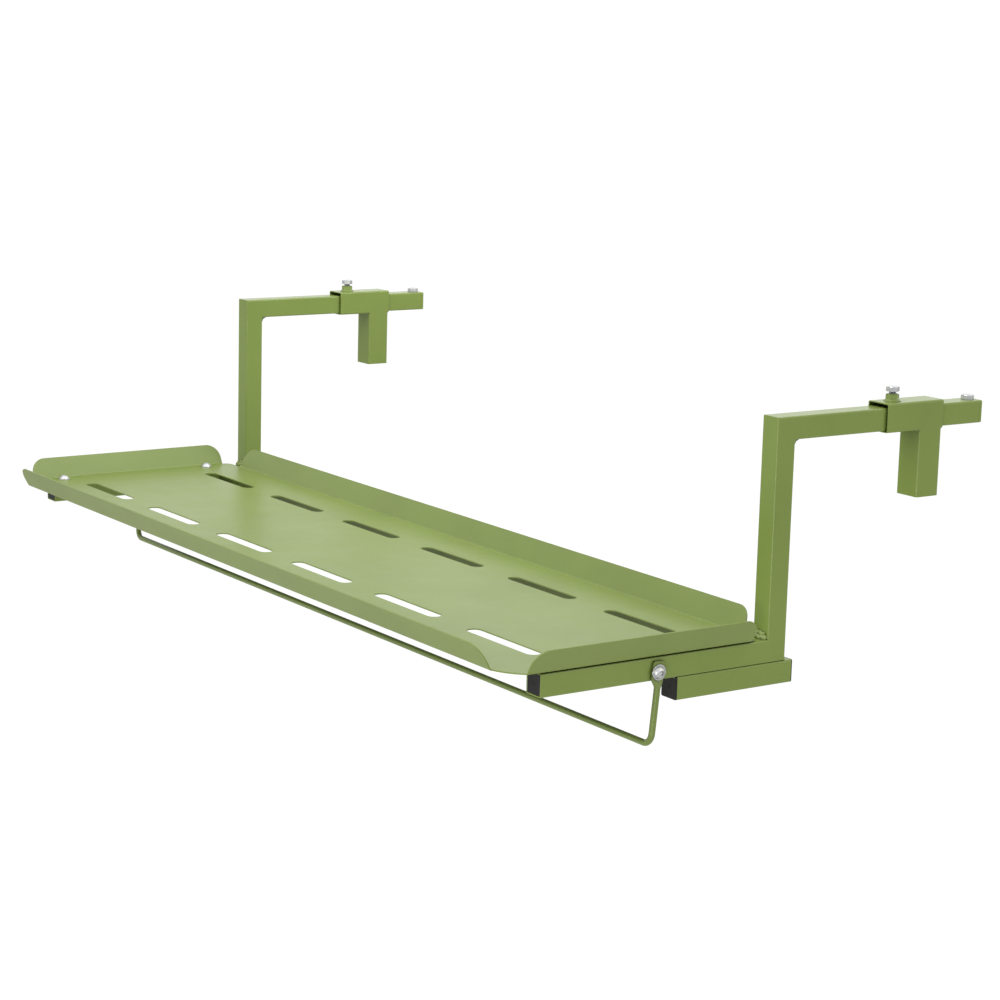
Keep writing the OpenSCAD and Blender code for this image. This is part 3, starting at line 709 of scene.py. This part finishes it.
def bracket_welds(name, side):
    """Welds of a bracket: the hook's fillet, two beads in front of the post's foot, one behind it
    and one at the spacer's front end."""
    top, seam = LOWER_HIGH[2], LOWER_LOW[2]
    beads = ((10.6, -26.8, top + 1.6, 3.4, 2), (8.0, -26.0, top + 5.6, 2.3, 7),
             (10.4, 0.7, seam + 0.8, 1.8, 5), (9.8, SPACER_LOW[1] - 0.2, seam - 0.4, 1.3, 11))
    welds = hook_fillet()
    for reach, y, z, radius, seed in beads:
        xs = np.linspace(-reach, reach, 9)
        path = np.column_stack([BRACKET_X + xs, y + 0.5 * np.sin(xs * 0.9 + seed),
                                z + 0.6 * np.cos(xs * 0.7 + seed)])
        welds += bead(path, radius, seed=side + seed)
    piece(f"{name}_bracket_welds", on_side(welds, side), "root", LIT_WELD_PAINT)


def bracket_plugs(name, side):
    """Black plugs: one sunk into the lower arm's front end, and one with a rim at each end of the
    spacer."""
    front = LOWER_LOW[1]
    cap = closed_prism(along_y(BRACKET_X, LOWER_Z), front + CAP_SUNK, front + CAP_DEPTH,
                       PLUG, 0.6, 0.3, 0.25)
    piece(f"{name}_lower_arm_plug", on_side(cap, side), "root", PLASTIC,
          [f"{name}_lower_arm_cap"])
    axis = along_y(BRACKET_X, SPACER_Z)
    ends = []
    for end, out in ((SPACER_LOW[1], -1), (SPACER_HIGH[1], 1)):
        low, high = sorted((end + out * PLUG_RIM, end))
        ends += closed_prism(axis, low, high, TUBE, TUBE_R, 0.4, 0.2)
        low, high = sorted((end, end - out * PLUG_DEPTH))
        ends += closed_prism(axis, low, high, PLUG, 0.6, 0.2)
    piece(f"{name}_spacer_plugs", on_side(ends, side), "root", PLASTIC,
          [f"{name}_spacer_caps"])


for name, side in SIDES:
    bracket_tubes(name, side)
    bracket_welds(name, side)
    bracket_plugs(name, side)


# Clamps
def clamp_tubes(name, side):
    """The sleeve, the leg that is welded under it, and the two beads across the joint."""
    clamp = f"{name}_clamp"
    sleeve = square_tube(along_y(BRACKET_X, SLEEVE_Z), SLEEVE_LOW[1], SLEEVE_HIGH[1],
                         SLEEVE, SLEEVE_R)
    piece(f"{name}_sleeve_tube", on_side(sleeve, side), clamp, FRAME_PAINT,
          [f"{name}_clamp_sleeve"])
    joint_z = LEG_HIGH[2]
    leg = square_tube(along_z(BRACKET_X, LEG_Y), LEG_LOW[2], joint_z + SLEEVE_R, SLEEVE, SLEEVE_R)
    piece(f"{name}_leg_tube", on_side(leg, side), clamp, SHADED_LEG_PAINT,
          [f"{name}_clamp_leg"])
    reach = SLEEVE / 2 - SEAM_INSET
    xs = np.linspace(-reach, reach, 9)
    seams = []
    for y, seed in ((LEG_LOW[1] - 0.2, 4), (LEG_HIGH[1] + 0.1, 9)):
        path = np.column_stack([BRACKET_X + xs, np.full(len(xs), y), joint_z - 0.3 + 0.1 * np.sin(xs)])
        seams += bead(path, 1.0, seed=side + seed)
    piece(f"{name}_leg_weld", on_side(seams, side), clamp, LIT_WELD_PAINT)


def hex_bolt(node):
    """Hexagon bolt in the place of a CAD bolt: its head at the top, its thread down to the end."""
    low, high = box_mm(node)
    axis = along_z(BRACKET_X, (low[1] + high[1]) / 2)
    head = high[2] - HEX_HEAD_H
    return hex_head(axis, head, high[2]) + thread(axis, low[2], head + INTO_HEAD)


def clamp_bolts(name, side):
    """The welded flange nut with its bead, the locking bolt in it, and the bolt at the arm's end."""
    low, high = box_mm(f"{name}_clamp_nut")
    bolt_y = (low[1] + high[1]) / 2
    nut = hex_head(along_z(BRACKET_X, bolt_y), low[2], high[2], NUT_BORE_R, NUT_FLANGE)
    turn = np.linspace(0, 2 * np.pi, AROUND_SCREW, endpoint=False)
    seat_r = NUT_FLANGE / 2 - 0.05
    seat = np.column_stack([BRACKET_X + seat_r * np.cos(turn), bolt_y + seat_r * np.sin(turn),
                            np.full(len(turn), low[2] + 0.2)])
    nut += bead(seat, 0.8, seed=side + 6, loop=True)
    piece(f"{name}_flange_nut", on_side(nut, side), f"{name}_clamp", FRAME_PAINT,
          [f"{name}_clamp_nut"])
    piece(f"{name}_locking_bolt", on_side(hex_bolt(f"{name}_clamp_bolt"), side),
          f"{name}_clamp_screw", ZINC, [f"{name}_clamp_bolt"])
    piece(f"{name}_end_bolt", on_side(hex_bolt(f"{name}_stop_bolt"), side), "root", ZINC,
          [f"{name}_stop_bolt"])


for name, side in SIDES:
    clamp_tubes(name, side)
    clamp_bolts(name, side)


# Rod
def rod_half():
    """Rows of a half of the rod, from an eye down the leg and round the bend: x, z, width,
    thickness, the power of the section's superellipse, and the turn of its plane."""
    drop = ROD_DROP - ROD_BEND
    corner = EYE_CORNER * (1 - np.cos(np.linspace(0, np.pi / 2, 7)))
    down = np.concatenate([corner - EYE_TOP, [-4, 2, NECK_FROM],
                           np.linspace(NECK_FROM + 1, NECK_FROM + NECK_L, 13),
                           np.linspace(LEG_FROM, drop, 5)])
    easing = np.clip((down - NECK_FROM) / NECK_L, 0, 1)
    easing = easing * easing * (3 - 2 * easing)
    tip = EYE_CORNER - np.clip(down + EYE_TOP, 0, EYE_CORNER)
    lost = 2 * (EYE_CORNER - np.sqrt(EYE_CORNER ** 2 - tip ** 2))
    wide = EYE_W + (ROD_D - EYE_W) * easing - lost
    thick = EYE_T + (ROD_D - EYE_T) * easing
    power = 2 / (EYE_POWER + (ROUND_POWER - EYE_POWER) * easing)
    rod_x = OUTER_X + RUNNING_GAP + ROD_D / 2
    eye_x = OUTER_X + RUNNING_GAP + EYE_T / 2
    leg = np.column_stack([eye_x + (rod_x - eye_x) * easing, -down, wide, thick, power, 0 * down])
    bend = np.linspace(0, np.pi / 2, 13)[1:]
    arc = np.column_stack([rod_x - ROD_BEND + ROD_BEND * np.cos(bend),
                           -drop - ROD_BEND * np.sin(bend),
                           np.tile([ROD_D, ROD_D, 1.0], (len(bend), 1)), bend])
    return np.vstack([leg, arc])


def rod_surfaces():
    """A section carried down from one eye, round the two bends and up to the other eye. The section
    is a superellipse: in the eye wide, thin and square, below it round, with a smooth change."""
    half = rod_half()
    other = half[::-1] * (-1, 1, 1, 1, 1, 1)
    other[:, 5] = np.pi - half[::-1, 5]
    x, z, wide, thick, power, plane = np.vstack([half, other]).T[:, :, None]
    turn = np.linspace(0, 2 * np.pi, 32, endpoint=False)
    c, s = np.cos(turn), np.sin(turn)
    across = np.sign(c) * np.abs(c) ** power * thick / 2
    deep = np.sign(s) * np.abs(s) ** power * wide / 2
    px, pz = x + across * np.cos(plane), z - across * np.sin(plane)
    points = np.stack([px, PIVOT_Y + deep * math.cos(ROD_LEAN) + pz * math.sin(ROD_LEAN),
                       PIVOT_Z - deep * math.sin(ROD_LEAN) + pz * math.cos(ROD_LEAN)], -1)
    return [grid(points, round_v=True), end_fan(points[0]), end_fan(points[-1])]


def pivot(name, side):
    """The screw on which an eye turns, with a washer outside the eye and one inside the arm."""
    low, high = box_mm("right_pivot_bolt")
    axis = along_x(PIVOT_Y, PIVOT_Z)
    head = high[0] - BUTTON_H
    screw = button_head(axis, head) + thread(axis, low[0], head + INTO_HEAD)
    piece(f"{name}_pivot_screw", on_side(screw, side), "root", ZINC,
          [f"{name}_pivot_bolt"])
    inside = OUTER_X - TUBE
    rings = washer(axis, head - WASHER_T, head) + washer(axis, inside - WASHER_T, inside)
    piece(f"{name}_pivot_rings", on_side(rings, side), "root", ZINC,
          [f"{name}_pivot_washers"])


def tray_screws():
    """The four button-head screws through the tray's floor, and their washers."""
    low, high = box_mm("tray_bolts")
    base = high[2] - BUTTON_H
    screws, rings = [], []
    for side in (RIGHT, LEFT):
        for y in TRAY_BOLT_YS:
            axis = along_z(side * BRACKET_X, y)
            screws += button_head(axis, base) + thread(axis, low[2], base + INTO_HEAD)
            rings += washer(axis, base - WASHER_T, base)
    piece("tray_screws", screws, "root", ZINC, ["tray_bolts"])
    piece("tray_screw_washers", rings, "root", ZINC, ["tray_washers"])


piece("hanging_rail", rod_surfaces(), "rod", SHADED_ROD_PAINT, ["hanging_rod"])
for name, side in SIDES:
    pivot(name, side)
tray_screws()

# CAD nodes that keep their shape
FINISH = {"rear_cross_tube": SHADED_PAINT, "leg_cap": PLASTIC}
for node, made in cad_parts.items():
    if not made.hide_render:
        made.data.materials.clear()
        made.data.materials.append(next((f for key, f in FINISH.items() if key in node), ZINC))


# Stage
FLOOR_HALF, FLOOR_Z = 30.0, -1.1


def pale_floor():
    """Matt pale floor that catches the shadow and, for the camera, shines nearly white."""
    made = bpy.data.materials.new("pale_floor")
    made.use_nodes = True
    tree = made.node_tree
    tree.nodes.clear()
    out = tree.nodes.new("ShaderNodeOutputMaterial")
    matt = tree.nodes.new("ShaderNodeBsdfDiffuse")
    matt.inputs["Color"].default_value = (0.74, 0.74, 0.73, 1)
    white = tree.nodes.new("ShaderNodeEmission")
    white.inputs["Color"].default_value = (1, 1, 1, 1)
    white.inputs["Strength"].default_value = 1.15
    rays = tree.nodes.new("ShaderNodeLightPath")
    join = tree.nodes.new("ShaderNodeMixShader")
    tree.links.new(mix_share(tree, rays.outputs["Is Camera Ray"], 0.8), join.inputs["Fac"])
    tree.links.new(matt.outputs["BSDF"], join.inputs[1])
    tree.links.new(white.outputs["Emission"], join.inputs[2])
    tree.links.new(join.outputs["Shader"], out.inputs["Surface"])
    return made


def white_room():
    """World that is white to the camera and in reflections, and dimmer as a light."""
    world = bpy.data.worlds.new("studio")
    bpy.context.scene.world = world
    world.use_nodes = True
    tree = world.node_tree
    tree.nodes.clear()
    out = tree.nodes.new("ShaderNodeOutputWorld")
    rays = tree.nodes.new("ShaderNodeLightPath")
    join = tree.nodes.new("ShaderNodeMixShader")
    for slot, strength in ((1, 0.75), (2, 1.05)):
        white = tree.nodes.new("ShaderNodeBackground")
        white.inputs["Color"].default_value = (1, 1, 1, 1)
        white.inputs["Strength"].default_value = strength
        tree.links.new(white.outputs["Background"], join.inputs[slot])
    joined = rays.outputs["Is Camera Ray"]
    for key in ("Is Glossy Ray", "Is Transmission Ray"):
        either = tree.nodes.new("ShaderNodeMath")
        either.operation = "MAXIMUM"
        tree.links.new(joined, either.inputs[0])
        tree.links.new(rays.outputs[key], either.inputs[1])
        joined = either.outputs["Value"]
    tree.links.new(joined, join.inputs["Fac"])
    tree.links.new(join.outputs["Shader"], out.inputs["Surface"])


floor_mesh = bpy.data.meshes.new("floor")
square = [(x * FLOOR_HALF, y * FLOOR_HALF, FLOOR_Z) for x, y in ((-1, -1), (1, -1), (1, 1), (-1, 1))]
floor_mesh.from_pydata(square, [], [(0, 1, 2, 3)])
floor_mesh.materials.append(pale_floor())
floor = bpy.data.objects.new("floor", floor_mesh)
bpy.context.scene.collection.objects.link(floor)
white_room()


def facing(right, up, back, at):
    """Matrix of a lamp or a camera from its three directions and its place."""
    return Matrix([[right[k], up[k], back[k], at[k]] for k in range(3)] + [[0, 0, 0, 1]])


def lamp(name, place, aim, size, power):
    """Square softbox at a place, turned so that it shines at the aim."""
    data = bpy.data.lights.new(name, "AREA")
    data.shape = "SQUARE"
    data.size = size
    data.energy = power
    made = bpy.data.objects.new(name, data)
    bpy.context.scene.collection.objects.link(made)
    way = np.array(place) - np.array(aim)
    way = way / np.linalg.norm(way)
    side = np.cross((0.0, 0.0, 1.0), way)
    side /= np.linalg.norm(side)
    made.matrix_world = facing(side, np.cross(way, side), way, place)


lamp("top_softbox", (0.3, -1.2, 3.2), (0, 0, -0.1), 2.6, 26)
lamp("front_softbox", (0.0, -3.6, 0.8), (0, 0, -0.1), 2.0, 21)
lamp("far_side_softbox", (0.05, 0.35, 0.9), (-0.58, 0.1, -0.1), 0.7, 6)
lamp("near_side_softbox", (2.3, 0.9, 1.0), (0.58, 0.1, -0.05), 1.0, 3)
lamp("edge_softbox", (2.36, -2.57, -0.7), (0.58, 0, -0.1), 0.45, 12)

# Camera
YAW, PITCH, ROLL = math.radians(55.413), math.radians(10.851), math.radians(1.552)
FOCAL_PX, CAMERA_AT = 2527.9, (2.5557, -1.7326, 0.4272)
PICTURE_PX, SENSOR_MM = 1000, 36.0
look = np.array([-math.sin(YAW) * math.cos(PITCH), math.cos(YAW) * math.cos(PITCH),
                 -math.sin(PITCH)])
level = np.array([math.cos(YAW), math.sin(YAW), 0])
above = np.cross(level, look)
right = math.cos(ROLL) * level + math.sin(ROLL) * above
up = math.cos(ROLL) * above - math.sin(ROLL) * level
camera_data = bpy.data.cameras.new("camera")
camera_data.sensor_fit = "HORIZONTAL"
camera_data.sensor_width = SENSOR_MM
camera_data.lens = FOCAL_PX * SENSOR_MM / PICTURE_PX
camera_data.clip_start, camera_data.clip_end = 0.05, 100
camera = bpy.data.objects.new("camera", camera_data)
bpy.context.scene.collection.objects.link(camera)
camera.matrix_world = facing(right, up, -look, CAMERA_AT)
bpy.context.scene.camera = camera
bpy.context.scene.view_settings.view_transform = "Standard"
